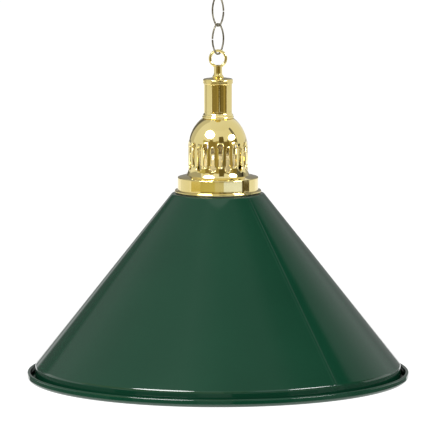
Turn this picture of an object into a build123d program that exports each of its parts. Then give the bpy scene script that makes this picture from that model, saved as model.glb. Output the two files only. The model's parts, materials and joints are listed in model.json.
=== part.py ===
from build123d import *
import os
from math import acos, asin, atan2, cos, degrees, radians, sin

os.makedirs("parts", exist_ok=True)

# A hanging lamp for a pool table: an enamelled steel shade on a brass holder with a vented
# dome, hung by its loop from two chain links and a ceiling hook. Millimetres, +Z up.
# The origin is the centre of the ceiling plate's top face, and everything hangs below it.
# Heights called "level" are measured up from a plane just over the shade's lowest edge.

# ---- Driving dimensions ----------------------------------------------------------------
rim_r = 220.0  # outer radius of the turned-up rim
ceiling_level = 480.0  # ceiling above level 0
rim_z = -ceiling_level

# shade
shade_sheet = 0.8
shade_wall_r = 210.4  # middle of the sheet in the short upright wall
shade_wall_top = 12.4
shade_top_level = 211.3  # middle of the sheet in the flat top
shade_top_r = 52.5
shade_hole_r = 20.6
shade_top_fillet = 4.0
shade_wall_fillet = 5.0
brim_level = -3.1
brim_fillet = 1.0
hem_width = 4.0  # rim: sheet turned up from the brim and folded down again inside
hem_top_level = 5.2
hem_end_level = 0.5
hem_fillet = 1.9

# holder: base ring, dome, neck
lip_r = 50.0
lip_thickness = 3.4
gasket_thickness = 0.5
base_wall_r = 46.5
base_wall_top = 229.2
base_shoulder_r = 45.6
base_shoulder_level = 230.4
base_top_level = 232.6
base_top_r = 37.3
base_hole_r = 30.0
base_sheet = 1.2
dome_r = 33.9
dome_sheet = 1.0
dome_arc_r = 40.9
dome_arc_level = 265.6
dome_top_level = 297.4
dome_foot_start = 243.7
dome_foot_arc_r = 26.3
casting_bore_r = 12.0  # hollow inside the cap and the collar, wider than the nuts' corners
vent_count = 24
vent_first = -85.4  # compass angle of one vent with its round end up, degrees
vent_round_r = 3.4
vent_bar_width = 3.6
vent_high_level = 268.0
vent_low_level = 242.9
vent_bar_top = 266.2
vent_bar_bottom = 244.1
collar_r = 18.4
collar_top = 305.9
neck_r = 16.2
neck_sheet = 1.2
neck_top = 337.4
cap_lip_r = 17.3
cap_lip_top = 341.6
cap_corner_r = 1.8
cap_top = 344.6
cap_web = 4.0

# M10 x 1 tie inside the holder
m10_r = 4.95
m10_hole_r = 5.0
m10_clear_r = 5.2
nut_flats = 14.0
nut_height = 4.0
thread_play = 0.05  # radial play of a thread or spigot in its hole
screw_slot_width = 0.9
wireway_r = 3.2

# hanging loop
loop_level = 366.3
loop_middle_r = 9.05
loop_wire_r = 1.7
stem_r = 4.8
stem_top = 358.8
stem_collar_r = 6.6
shank_bottom = 328.0

# chain
link_wire_r = 1.05
link_half_length = 17.4  # of the wire's middle line
link_half_width = 8.9
link_end_r = 4.8
link_gap = 0.3  # free play between a link and what carries it
loop_gap = 1.1  # free play between the loop and the link that carries it
seam_gap = 0.9  # butt joint in the middle of a link's side

# ceiling hook and plate
hook_wire_r = 1.8
hook_middle_r = 8.0
hook_bend_r = 5.0
hook_tip_angle = 205.0  # from the hook's right side, down and round to its tip, degrees
plate_r = 33.0
plate_sheet = 1.6
plate_floor = -8.4  # middle of the sheet in the plate's dished centre
plate_floor_r = 14.0
plate_flange_r = 19.0
plate_bend_r = 2.5
screw_circle_r = 26.0
screw_hole_r = 2.25
hook_thread_r = 1.95
hook_thread_length = 6.5
hook_collar_r = 4.5
hook_collar_height = 2.5
hook_nut_height = 3.2
hook_nut_flats = 7.0

# E27 lampholder and bulb
skirt_r = 19.95
skirt_bore_r = 16.2
skirt_bottom = 199.0
holder_r = 21.2
holder_split = 229.0
holder_top = 258.0
holder_wall = 2.4
e27_pitch = 3.629
shell_bore_r = 13.45
shell_sheet = 0.4
bulb_crest_r = 13.1
bulb_root_r = 12.3
bulb_contact_top = 226.0
bulb_r = 30.0
bulb_centre = 149.0
bulb_glass_sheet = 0.8
bulb_neck_r = 11.5

# ---- Places worked out from them -------------------------------------------------------
lamp_xz = Plane(origin=(0, 0, rim_z), x_dir=(1, 0, 0), z_dir=(0, -1, 0))
loop_top_wire = loop_level + loop_middle_r
lower_link_level = loop_top_wire - loop_wire_r - link_wire_r - loop_gap + link_half_length
link_step = 2 * (link_half_length - link_wire_r) - link_gap
upper_link_level = lower_link_level + link_step
hook_wire_level = upper_link_level + link_half_length - link_wire_r - hook_wire_r - link_gap
hook_level = hook_wire_level + hook_middle_r
lip_bottom = shade_top_level + shade_sheet / 2 + gasket_thickness
shade_under = shade_top_level - shade_sheet / 2


def at_level(level):
    """Horizontal plane at a height above the rim."""
    return Plane.XY.offset(rim_z + level)


def turned(*outline):
    """Turn a closed outline of (radius, level) points about the lamp's axis."""
    with BuildSketch(lamp_xz) as section:
        with BuildLine():
            Polyline(*outline, close=True)
        make_face()
    revolve(section.sketch, axis=Axis.Z)


def pipe(level_low, level_high, outer_r, inner_r):
    """Upright tube between two levels."""
    with BuildSketch(at_level(level_low)) as section:
        Circle(outer_r)
        Circle(inner_r, mode=Mode.SUBTRACT)
    extrude(section.sketch, amount=level_high - level_low)


def hex_nut(level_low, height, flats, hole_r):
    """Hexagon nut with its axis on the lamp's axis."""
    with BuildSketch(at_level(level_low)) as section:
        RegularPolygon(radius=flats / 2, side_count=6, major_radius=False)
        Circle(hole_r, mode=Mode.SUBTRACT)
    extrude(section.sketch, amount=height)


def chain_link(level, plane_angle, seam_side):
    """Oval of four tangent arcs, standing upright in a plane at plane_angle to the XZ plane.

    seam_side is 1 or -1: the side of the oval, along the plane, where the wire's ends meet.
    """
    side_r = (link_half_length - link_end_r) ** 2 + link_half_width**2 - link_end_r**2
    side_r = side_r / (2 * (link_half_width - link_end_r))
    reach = side_r - link_half_width
    end_up = link_half_length - link_end_r
    turn = degrees(atan2(end_up, reach))
    seam = degrees(seam_gap / 2 / side_r)
    across = (cos(radians(plane_angle)) * seam_side, sin(radians(plane_angle)) * seam_side, 0)
    face = (across[1], -across[0], 0)
    standing = Plane(origin=(0, 0, rim_z + level), x_dir=across, z_dir=face)
    with BuildLine(standing) as middle:
        CenterArc((-reach, 0), side_r, seam, turn - seam)
        CenterArc((0, end_up), link_end_r, turn, 180 - 2 * turn)
        CenterArc((reach, 0), side_r, 180 - turn, 2 * turn)
        CenterArc((0, -end_up), link_end_r, 180 + turn, 180 - 2 * turn)
        CenterArc((-reach, 0), side_r, -turn, turn - seam)
    with BuildSketch(Plane(origin=middle.line @ 0, z_dir=middle.line % 0)) as section:
        Circle(link_wire_r)
    sweep(section.sketch, path=middle.line)


def knuckles(crest_r, root_r, level_low, count):
    """Outline of rounded screw-shell waves, drawn upwards, one pitch each."""
    middle_r = (crest_r + root_r) / 2
    for turn_number in range(count):
        low = level_low + turn_number * e27_pitch
        half = low + e27_pitch / 2
        ThreePointArc((middle_r, low), (crest_r, low + e27_pitch / 4), (middle_r, half))
        ThreePointArc((middle_r, half), (root_r, half + e27_pitch / 4), (middle_r, low + e27_pitch))


# ---- Ceiling plate, hook and nut -------------------------------------------------------
# Pressed plate: a flat flange against the ceiling and a dished centre that holds the nut.
plate_hole_r = hook_thread_r + 0.15
with BuildPart() as ceiling_plate:
    with BuildSketch(Plane.XZ):
        with BuildLine():
            FilletPolyline(
                (plate_hole_r + plate_sheet / 2, plate_floor), (plate_floor_r, plate_floor),
                (plate_flange_r, -plate_sheet / 2), (plate_r - plate_sheet / 2, -plate_sheet / 2),
                radius=plate_bend_r,
            )
            offset(amount=plate_sheet / 2, side=Side.BOTH)
        make_face()
    revolve(axis=Axis.Z)
    with BuildSketch(Plane.XY):
        with PolarLocations(screw_circle_r, 3, start_angle=90):
            Circle(screw_hole_r)
    extrude(amount=-2 * plate_sheet, mode=Mode.SUBTRACT)
ceiling_plate.part.label = "ceiling_plate"
export_step(ceiling_plate.part, "parts/ceiling_plate.step")

# Open hook of one bent wire, in the plane of the lower link. The wire leaves the threaded
# shank in a small bend and comes round under it, so that the load hangs on the axis.
hook_s_turn = degrees(acos(hook_bend_r / (hook_bend_r + hook_middle_r)))
hook_s_level = (hook_bend_r + hook_middle_r) * sin(radians(hook_s_turn))
plate_under = plate_floor - plate_sheet / 2
plate_inside = plate_floor + plate_sheet / 2
hook_plane = Plane(origin=(0, 0, rim_z + hook_level), x_dir=(1, 1, 0), z_dir=(1, -1, 0))
shank_in_hook = plate_under - (rim_z + hook_level)
with BuildPart() as ceiling_hook:
    with BuildLine(hook_plane) as hook_line:
        Line((0, shank_in_hook), (0, hook_s_level))
        CenterArc((hook_bend_r, hook_s_level), hook_bend_r, 180, hook_s_turn)
        CenterArc((0, 0), hook_middle_r, hook_s_turn, -(hook_s_turn + hook_tip_angle))
    with BuildSketch(Plane(origin=hook_line.line @ 0, z_dir=hook_line.line % 0)):
        Circle(hook_wire_r)
    sweep(path=hook_line.line)
    with Locations(hook_line.line @ 1):
        Sphere(hook_wire_r)
    with BuildSketch(Plane.XY.offset(plate_under)):
        Circle(hook_collar_r)
    extrude(amount=-hook_collar_height)
    with BuildSketch(Plane.XY.offset(plate_under)):
        Circle(hook_thread_r)
    extrude(amount=hook_thread_length)
ceiling_hook.part.label = "ceiling_hook"
export_step(ceiling_hook.part, "parts/ceiling_hook.step")

with BuildPart() as hook_nut:
    hex_nut(plate_inside - rim_z, hook_nut_height, hook_nut_flats, hook_thread_r + thread_play)
hook_nut.part.label = "hook_nut"
export_step(hook_nut.part, "parts/hook_nut.step")

# ---- Chain -----------------------------------------------------------------------------
with BuildPart() as chain_link_upper:
    chain_link(upper_link_level, -45, 1)
chain_link_upper.part.label = "chain_link_upper"
export_step(chain_link_upper.part, "parts/chain_link_upper.step")

with BuildPart() as chain_link_lower:
    chain_link(lower_link_level, 45, -1)
chain_link_lower.part.label = "chain_link_lower"
export_step(chain_link_lower.part, "parts/chain_link_lower.step")

# ---- Hanging loop and neck -------------------------------------------------------------
# Loop with a hollow shank: the cable would pass down through the loop and the shank.
with BuildPart() as hanging_loop:
    turned(
        (0, shank_bottom), (m10_r, shank_bottom), (m10_r, cap_top), (stem_collar_r - 0.3, cap_top),
        (stem_collar_r, cap_top + 0.4), (stem_collar_r, cap_top + 1.5),
        (stem_collar_r - 0.4, cap_top + 1.9), (stem_r + 0.8, cap_top + 2.5),
        (stem_r + 0.3, cap_top + 3.5), (stem_r, cap_top + 5.0),
        (stem_r, stem_top - 0.8), (stem_r - 0.8, stem_top), (0, stem_top),
    )
    with BuildSketch(at_level(loop_level)):
        with Locations((loop_middle_r, 0)):
            Circle(loop_wire_r)
    revolve(axis=Axis((0, 0, rim_z + loop_level), (0, 1, 0)))
    with BuildSketch(at_level(shank_bottom)):
        Circle(wireway_r)
    extrude(amount=stem_top - shank_bottom + wireway_r, mode=Mode.SUBTRACT)
hanging_loop.part.label = "hanging_loop"
export_step(hanging_loop.part, "parts/hanging_loop.step")

# Turned cap, centred in the tube by a spigot: an upright lip, a round corner and a top that
# rises a little towards the stem.
spigot_r = neck_r - neck_sheet - thread_play
cap_spigot = 3.5
collar_spigot = 4.0
cap_brow_r = cap_lip_r - cap_corner_r
cap_brow_level = cap_lip_top + cap_corner_r
corner_middle = cap_corner_r * sin(radians(45))
with BuildPart() as neck_cap:
    with BuildSketch(lamp_xz):
        with BuildLine():
            Polyline(
                (cap_lip_r, cap_lip_top), (cap_lip_r, neck_top + 0.6), (cap_lip_r - 0.4, neck_top + 0.2),
                (neck_r, neck_top), (spigot_r, neck_top), (spigot_r, neck_top - cap_spigot),
                (casting_bore_r, neck_top - cap_spigot), (casting_bore_r, cap_top - cap_web),
                (m10_clear_r, cap_top - cap_web), (m10_clear_r, cap_top),
                (stem_collar_r + 1.0, cap_top), (cap_brow_r, cap_brow_level),
            )
            ThreePointArc(
                (cap_brow_r, cap_brow_level),
                (cap_brow_r + corner_middle, cap_lip_top + corner_middle), (cap_lip_r, cap_lip_top),
            )
        make_face()
    revolve(axis=Axis.Z)
neck_cap.part.label = "neck_cap"
export_step(neck_cap.part, "parts/neck_cap.step")

with BuildPart() as neck_tube:
    pipe(collar_top, neck_top, neck_r, neck_r - neck_sheet)
neck_tube.part.label = "neck_tube"
export_step(neck_tube.part, "parts/neck_tube.step")

# Collar between dome and tube: a bead, a hollow curve up to the tube, and a spigot inside it.
with BuildPart() as neck_collar:
    with BuildSketch(lamp_xz):
        with BuildLine():
            Line((m10_clear_r, dome_top_level), (collar_r - 0.5, dome_top_level))
            ThreePointArc(
                (collar_r - 0.5, dome_top_level), (collar_r, dome_top_level + 1.7),
                (collar_r - 0.6, dome_top_level + 3.4),
            )
            Line((collar_r - 0.6, dome_top_level + 3.4), (collar_r - 1.0, dome_top_level + 3.7))
            ThreePointArc(
                (collar_r - 1.0, dome_top_level + 3.7), (neck_r + 0.2, collar_top - 3.0),
                (neck_r, collar_top),
            )
            Polyline(
                (neck_r, collar_top), (spigot_r, collar_top), (spigot_r, collar_top + collar_spigot),
                (casting_bore_r, collar_top + collar_spigot), (casting_bore_r, dome_top_level + 3.0),
                (m10_clear_r, dome_top_level + 3.0), (m10_clear_r, dome_top_level),
            )
        make_face()
    revolve(axis=Axis.Z)
neck_collar.part.label = "neck_collar"
export_step(neck_collar.part, "parts/neck_collar.step")

# ---- Vented dome -----------------------------------------------------------------------
# Spun from one sheet: flat top, large shoulder arc, cylinder, and a foot that flares out.
dome_mid_r = dome_r - dome_sheet / 2
dome_mid_arc = dome_arc_r - dome_sheet / 2
dome_arc_x = dome_r - dome_arc_r
dome_flat_level = dome_top_level - dome_sheet / 2
dome_arc_end = degrees(asin((dome_flat_level - dome_arc_level) / dome_mid_arc))
dome_flat_r = dome_arc_x + dome_mid_arc * cos(radians(dome_arc_end))
foot_mid_arc = dome_foot_arc_r + dome_sheet / 2
foot_drop = dome_foot_start - base_top_level
foot_turn = degrees(asin(foot_drop / foot_mid_arc))


def vent_planes(first):
    """Every second upright plane that faces out through a vent."""
    planes = []
    for number in range(first, vent_count, 2):
        angle = radians(vent_first + number * 360 / vent_count)
        outward = (cos(angle), sin(angle), 0)
        planes.append(Plane(origin=(0, 0, rim_z), x_dir=(-sin(angle), cos(angle), 0), z_dir=outward))
    return planes


def cut_vents(first, round_level):
    """Keyhole vents with their round ends at round_level."""
    bar_height = vent_bar_top - vent_bar_bottom + vent_round_r / 2
    bar_middle = (vent_bar_top + vent_bar_bottom) / 2
    with BuildSketch(*vent_planes(first)) as section:
        with Locations((0, round_level)):
            Circle(vent_round_r)
        with Locations((0, bar_middle)):
            SlotOverall(bar_height, vent_bar_width, rotation=90)
    extrude(section.sketch, amount=dome_r + 3, mode=Mode.SUBTRACT)


with BuildPart() as vented_dome:
    with BuildSketch(lamp_xz):
        with BuildLine():
            Line((m10_clear_r + dome_sheet / 2, dome_flat_level), (dome_flat_r, dome_flat_level))
            CenterArc((dome_arc_x, dome_arc_level), dome_mid_arc, dome_arc_end, -dome_arc_end)
            Line((dome_mid_r, dome_arc_level), (dome_mid_r, dome_foot_start))
            CenterArc((dome_mid_r + foot_mid_arc, dome_foot_start), foot_mid_arc, 180, foot_turn)
            offset(amount=dome_sheet / 2, side=Side.BOTH)
        make_face()
    revolve(axis=Axis.Z)
    with BuildSketch(at_level(base_top_level)):
        Circle(base_top_r + 5)
    extrude(amount=-3, mode=Mode.SUBTRACT)
    cut_vents(0, vent_high_level)
    cut_vents(1, vent_low_level)
vented_dome.part.label = "vented_dome"
export_step(vented_dome.part, "parts/vented_dome.step")

# ---- Base ring, gasket and shade -------------------------------------------------------
lip_mid_r = lip_r - lip_thickness / 2
lip_top = lip_bottom + lip_thickness
base_inside_r = base_wall_r - base_sheet
with BuildPart() as base_ring:
    with BuildSketch(lamp_xz):
        with BuildLine():
            Line((base_inside_r, lip_bottom), (lip_mid_r, lip_bottom))
            ThreePointArc(
                (lip_mid_r, lip_bottom), (lip_r, (lip_bottom + lip_top) / 2), (lip_mid_r, lip_top)
            )
            Polyline((lip_mid_r, lip_top), (base_wall_r, lip_top), (base_wall_r, base_wall_top))
            ThreePointArc(
                (base_wall_r, base_wall_top), (base_wall_r - 0.25, base_wall_top + 0.73),
                (base_shoulder_r, base_shoulder_level),
            )
            Polyline(
                (base_shoulder_r, base_shoulder_level), (base_top_r, base_top_level),
                (base_hole_r, base_top_level), (base_hole_r, base_top_level - base_sheet),
                (base_top_r - 0.2, base_top_level - base_sheet),
                (base_shoulder_r - 0.6, base_shoulder_level - 1.0),
                (base_inside_r, base_wall_top + 0.1), (base_inside_r, lip_bottom),
            )
        make_face()
    revolve(axis=Axis.Z)
base_ring.part.label = "base_ring"
export_step(base_ring.part, "parts/base_ring.step")

with BuildPart() as shade_gasket:
    pipe(lip_bottom - gasket_thickness, lip_bottom, lip_r - 0.8, base_inside_r - 1.3)
shade_gasket.part.label = "shade_gasket"
export_step(shade_gasket.part, "parts/shade_gasket.step")

# Shade, pressed from one sheet: flat top with a hole, cone, upright wall, brim, folded rim.
hem_outer_r = rim_r - shade_sheet / 2
hem_inner_r = hem_outer_r - hem_width
with BuildPart() as shade:
    with BuildSketch(lamp_xz):
        with BuildLine():
            FilletPolyline(
                (shade_hole_r + shade_sheet / 2, shade_top_level), (shade_top_r, shade_top_level),
                (shade_wall_r, shade_wall_top), (shade_wall_r, brim_level),
                (hem_outer_r, brim_level), (hem_outer_r, hem_top_level),
                (hem_inner_r, hem_top_level), (hem_inner_r, hem_end_level),
                radius=[
                    shade_top_fillet, shade_wall_fillet, brim_fillet, hem_fillet, hem_fillet, hem_fillet
                ],
            )
            offset(amount=shade_sheet / 2, side=Side.BOTH)
        make_face()
    revolve(axis=Axis.Z)
shade.part.label = "shade"
export_step(shade.part, "parts/shade.step")

# Threaded ring that clamps the shade's top from below, with finger notches in its flange.
ring_r = 28.5
ring_height = 9.0
ring_body_r = 24.5
ring_flange = 3.0
notch_count = 12
notch_r = 2.6
with BuildPart() as shade_ring:
    pipe(shade_under - ring_height, shade_under, ring_body_r, skirt_r + thread_play)
    pipe(shade_under - ring_flange, shade_under, ring_r, skirt_r + thread_play)
    with BuildSketch(at_level(shade_under)):
        with PolarLocations(ring_r + 1.2, notch_count):
            Circle(notch_r)
    extrude(amount=-ring_flange, mode=Mode.SUBTRACT)
shade_ring.part.label = "shade_ring"
export_step(shade_ring.part, "parts/shade_ring.step")

# ---- Tie rod and its nuts --------------------------------------------------------------
rod_top = shank_bottom - 0.5
rod_bottom = 253.0
rod_bore_r = 3.5
coupling_height = 20.0
with BuildPart() as support_rod:
    pipe(rod_bottom, rod_top, m10_r, rod_bore_r)
support_rod.part.label = "support_rod"
export_step(support_rod.part, "parts/support_rod.step")

with BuildPart() as coupling_nut:
    hex_nut(shank_bottom - coupling_height / 2, coupling_height, nut_flats, m10_hole_r)
coupling_nut.part.label = "coupling_nut"
export_step(coupling_nut.part, "parts/coupling_nut.step")

dome_inside = dome_top_level - dome_sheet
washer_thickness = 1.2
tag_thickness = 0.8
washer_r = 12.0
washer_under = dome_inside - washer_thickness
tag_under = washer_under - tag_thickness
with BuildPart() as dome_washer:
    pipe(washer_under, dome_inside, washer_r, m10_clear_r)
dome_washer.part.label = "dome_washer"
export_step(dome_washer.part, "parts/dome_washer.step")

# Earth tag: a ring on the rod with a tab and a screw for the earth wire.
tag_screw_x = 15.5
tag_screw_r = 1.7
tag_ring_r = 9.5
tag_tab_r = 4.0
tag_head_r = 3.2
tag_head_height = 2.2
with BuildPart() as earth_tag:
    with BuildSketch(at_level(tag_under)):
        Circle(tag_ring_r)
        with Locations((tag_screw_x / 2, 0)):
            Rectangle(tag_screw_x, 2 * tag_tab_r)
        with Locations((tag_screw_x, 0)):
            Circle(tag_tab_r)
        Circle(m10_clear_r, mode=Mode.SUBTRACT)
        with Locations((tag_screw_x, 0)):
            Circle(tag_screw_r + thread_play, mode=Mode.SUBTRACT)
    extrude(amount=tag_thickness)
earth_tag.part.label = "earth_tag"
export_step(earth_tag.part, "parts/earth_tag.step")

with BuildPart() as earth_screw:
    with BuildSketch(at_level(tag_under)):
        with Locations((tag_screw_x, 0)):
            Circle(tag_head_r)
    extrude(amount=-tag_head_height)
    with BuildSketch(at_level(tag_under)):
        with Locations((tag_screw_x, 0)):
            Circle(tag_screw_r)
    extrude(amount=tag_thickness + 0.8)
    with BuildSketch(at_level(tag_under - tag_head_height)):
        with Locations((tag_screw_x, 0)):
            Rectangle(2 * tag_head_r + 0.6, screw_slot_width)
    extrude(amount=1.0, mode=Mode.SUBTRACT)
earth_screw.part.label = "earth_screw"
export_step(earth_screw.part, "parts/earth_screw.step")

with BuildPart() as dome_nut:
    hex_nut(tag_under - nut_height, nut_height, nut_flats, m10_hole_r)
dome_nut.part.label = "dome_nut"
export_step(dome_nut.part, "parts/dome_nut.step")

# ---- E27 lampholder --------------------------------------------------------------------
bush_top = holder_top + 4.0
bush_bottom = holder_top - 6.0
bush_r = 6.4
bush_flange_r = 8.5
set_screw_level = holder_top + 2.0
set_screw_r = 1.25
with BuildPart() as holder_lock_nut:
    hex_nut(bush_top, nut_height, nut_flats, m10_hole_r)
holder_lock_nut.part.label = "holder_lock_nut"
export_step(holder_lock_nut.part, "parts/holder_lock_nut.step")

with BuildPart() as holder_bush:
    pipe(bush_bottom, holder_top, bush_r, m10_hole_r)
    pipe(holder_top, bush_top, bush_flange_r, m10_hole_r)
    with BuildSketch(Plane(origin=(0, 0, rim_z + set_screw_level), x_dir=(1, 0, 0), z_dir=(0, -1, 0))):
        Circle(set_screw_r + thread_play)
    extrude(amount=bush_flange_r + 1, mode=Mode.SUBTRACT)
holder_bush.part.label = "holder_bush"
export_step(holder_bush.part, "parts/holder_bush.step")

with BuildPart() as holder_set_screw:
    with BuildSketch(Plane(origin=(0, -m10_hole_r, rim_z + set_screw_level), z_dir=(0, -1, 0))):
        Circle(set_screw_r)
    extrude(amount=bush_flange_r - m10_r)
holder_set_screw.part.label = "holder_set_screw"
export_step(holder_set_screw.part, "parts/holder_set_screw.step")

with BuildPart() as holder_cap:
    turned(
        (bush_r + thread_play, holder_top), (holder_r - 6.0, holder_top),
        (holder_r - 2.0, holder_top - 1.8), (holder_r, holder_top - 6.0), (holder_r, holder_split),
        (holder_r - holder_wall, holder_split), (holder_r - holder_wall, holder_top - 6.4),
        (holder_r - 3.8, holder_top - 3.6), (holder_r - 6.5, holder_top - holder_wall),
        (bush_r + thread_play, holder_top - holder_wall),
    )
holder_cap.part.label = "holder_cap"
export_step(holder_cap.part, "parts/holder_cap.step")

# Skirt with the outer thread for the shade ring, shown as rings at the thread's pitch.
insert_under = 227.4
insert_top = 241.4
insert_r = 17.4
thread_pitch = 2.5
groove_count = 4
groove_depth = 0.6
groove_width = 0.9
skirt_collar = 5.0
with BuildPart() as holder_skirt:
    pipe(skirt_bottom, insert_under, skirt_r, skirt_bore_r)
    pipe(holder_split - skirt_collar, holder_split, holder_r, insert_r + thread_play)
    for groove in range(groove_count):
        with BuildSketch(lamp_xz):
            with Locations((skirt_r, skirt_bottom + (groove + 1) * thread_pitch)):
                Rectangle(2 * groove_depth, groove_width)
        revolve(axis=Axis.Z, mode=Mode.SUBTRACT)
holder_skirt.part.label = "holder_skirt"
export_step(holder_skirt.part, "parts/holder_skirt.step")

# Porcelain insert with two slots for the contacts and holes for their screws.
leg_x = 7.2
side_leg_x = -9.8
contact_sheet = 0.6
contact_width = 6.0
live_screw_x = 11.5
side_screw_x = -13.6
terminal_r = 1.7
terminal_head_r = 2.9
terminal_head_height = 2.0
terminal_length = 7.0  # of the screw inside the insert
insert_bore_r = 2.5
with BuildPart() as holder_insert:
    pipe(insert_under, insert_top, insert_r, insert_bore_r)
    with BuildSketch(at_level(insert_under)):
        with Locations((leg_x, 0), (side_leg_x, 0)):
            Rectangle(contact_sheet + 0.8, contact_width + 0.6)
        with Locations((live_screw_x, 0), (side_screw_x, 0)):
            Circle(terminal_r + thread_play)
    extrude(amount=insert_top - insert_under, mode=Mode.SUBTRACT)
holder_insert.part.label = "holder_insert"
export_step(holder_insert.part, "parts/holder_insert.step")


def contact_strip(*middle_line):
    """Bend a flat strip along (x, level) points in the plane through the lamp's axis."""
    with BuildSketch(lamp_xz) as section:
        with BuildLine():
            Polyline(*middle_line)
            offset(amount=contact_sheet / 2, side=Side.BOTH, kind=Kind.INTERSECTION)
        make_face()
    extrude(section.sketch, amount=contact_width / 2, both=True)


def screw_hole_in_tab(x):
    """Terminal screw's hole through a contact's upper tab."""
    with BuildSketch(at_level(insert_top)) as section:
        with Locations((x, 0)):
            Circle(terminal_r + thread_play)
    extrude(section.sketch, amount=3.0, mode=Mode.SUBTRACT)


# Middle contact: a spring tongue over the bulb, a leg up through the insert and a tab.
tongue_level = bulb_contact_top + 0.3 + contact_sheet / 2
tab_level = insert_top + thread_play + contact_sheet / 2
with BuildPart() as centre_contact:
    contact_strip(
        (-4.0, tongue_level), (leg_x, tongue_level), (leg_x, tab_level), (live_screw_x + 3.4, tab_level)
    )
    screw_hole_in_tab(live_screw_x)
centre_contact.part.label = "centre_contact"
export_step(centre_contact.part, "parts/centre_contact.step")

# Side contact: presses on the screw shell's flange, with the same leg and tab.
shell_flange_level = 226.6
side_foot_level = insert_under - contact_sheet / 2
with BuildPart() as side_contact:
    contact_strip(
        (side_screw_x, side_foot_level), (side_leg_x, side_foot_level), (side_leg_x, tab_level),
        (side_screw_x - 3.0, tab_level),
    )
    screw_hole_in_tab(side_screw_x)
side_contact.part.label = "side_contact"
export_step(side_contact.part, "parts/side_contact.step")

with BuildPart() as terminal_screws:
    with BuildSketch(at_level(insert_top - terminal_length)):
        with Locations((live_screw_x, 0), (side_screw_x, 0)):
            Circle(terminal_r)
    extrude(amount=terminal_length + thread_play + contact_sheet)
    with BuildSketch(at_level(tab_level + contact_sheet / 2)):
        with Locations((live_screw_x, 0), (side_screw_x, 0)):
            Circle(terminal_head_r)
    extrude(amount=terminal_head_height)
    with BuildSketch(at_level(tab_level + contact_sheet / 2 + terminal_head_height)):
        with Locations((live_screw_x, 0), (side_screw_x, 0)):
            Rectangle(2 * terminal_head_r + 0.6, screw_slot_width)
    extrude(amount=-terminal_head_height / 2, mode=Mode.SUBTRACT)
terminal_screws.part.label = "terminal_screws"
export_step(terminal_screws.part, "parts/terminal_screws.step")

# Screw shell of the lampholder: a plain bore that clears the bulb's crests, with waves outside.
shell_outer = shell_bore_r + shell_sheet
shell_turns = 5
shell_bottom = 205.0
shell_middle_r = shell_outer + 0.5  # half-way up the waves
shell_flange_r = 8.8  # hole in the flange the side contact presses on
shell_top = shell_bottom + shell_turns * e27_pitch
with BuildPart() as screw_shell:
    with BuildSketch(lamp_xz):
        with BuildLine():
            knuckles(shell_outer + 0.9, shell_outer + 0.1, shell_bottom, shell_turns)
            Polyline(
                (shell_middle_r, shell_top), (shell_middle_r, shell_flange_level + shell_sheet / 2),
                (shell_flange_r, shell_flange_level + shell_sheet / 2),
                (shell_flange_r, shell_flange_level - shell_sheet / 2),
                (shell_bore_r, shell_flange_level - shell_sheet / 2),
                (shell_bore_r, shell_bottom - 1.2), (shell_outer + 1.2, shell_bottom - 1.2),
                (shell_middle_r, shell_bottom),
            )
        make_face()
    revolve(axis=Axis.Z)
screw_shell.part.label = "screw_shell"
export_step(screw_shell.part, "parts/screw_shell.step")

# ---- Bulb ------------------------------------------------------------------------------
cap_bottom = 200.5
cap_thread_turns = 4
cap_thread_bottom = 205.2
cap_thread_top = cap_thread_bottom + cap_thread_turns * e27_pitch
cap_shoulder = cap_thread_top + 2.2
cap_inner_r = 11.7
with BuildPart() as bulb_cap:
    with BuildSketch(lamp_xz):
        with BuildLine():
            Polyline(
                (cap_inner_r, cap_bottom), (bulb_crest_r, cap_bottom), (bulb_crest_r, cap_bottom + 1.5),
                ((bulb_crest_r + bulb_root_r) / 2, cap_thread_bottom),
            )
            knuckles(bulb_crest_r, bulb_root_r, cap_thread_bottom, cap_thread_turns)
            Polyline(
                ((bulb_crest_r + bulb_root_r) / 2, cap_thread_top), (bulb_root_r - 0.4, cap_shoulder),
                (9.6, cap_shoulder + 0.9), (9.6, cap_shoulder + 0.5), (cap_inner_r, cap_shoulder - 0.4),
                (cap_inner_r, cap_bottom),
            )
        make_face()
    revolve(axis=Axis.Z)
bulb_cap.part.label = "bulb_cap"
export_step(bulb_cap.part, "parts/bulb_cap.step")

# Black glass cone between the cap's shell and its middle contact.
with BuildPart() as cap_insulator:
    turned(
        (0, cap_shoulder - 0.5), (9.4, cap_shoulder - 0.5), (9.4, cap_shoulder + 1.0),
        (5.0, bulb_contact_top - 1.0), (0, bulb_contact_top - 1.0),
    )
cap_insulator.part.label = "cap_insulator"
export_step(cap_insulator.part, "parts/cap_insulator.step")

with BuildPart() as cap_contact:
    turned(
        (0, bulb_contact_top - 0.98), (4.6, bulb_contact_top - 0.98), (4.6, bulb_contact_top - 0.5),
        (3.4, bulb_contact_top), (0, bulb_contact_top),
    )
cap_contact.part.label = "cap_contact"
export_step(cap_contact.part, "parts/cap_contact.step")

# Glass envelope: neck inside the cap, flare, tangent flank and sphere.
bulb_flank_turn = 38.0


def bulb_body(inward, mode):
    """Solid of the glass's outer shape, or of its inside when inward is the glass's thickness."""
    ball_r = bulb_r - inward
    up = sin(radians(bulb_flank_turn))
    along = cos(radians(bulb_flank_turn))
    neck_foot = (bulb_neck_r - inward, cap_bottom)
    neck_flare = (13.4 - inward, cap_bottom - 2.0)
    flank = (ball_r * along, bulb_centre + ball_r * up)
    neck_end = cap_bottom + 6.0 + inward
    with BuildSketch(lamp_xz) as section:
        with BuildLine():
            Polyline((0, neck_end), (bulb_neck_r - inward, neck_end), neck_foot, neck_flare)
            Spline(neck_flare, flank, tangents=((0.1, -1), (up, -along)))
            CenterArc((0, bulb_centre), ball_r, bulb_flank_turn, -(bulb_flank_turn + 90))
            Line((0, bulb_centre - ball_r), (0, neck_end))
        make_face()
    revolve(section.sketch, axis=Axis.Z, mode=mode)


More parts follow.
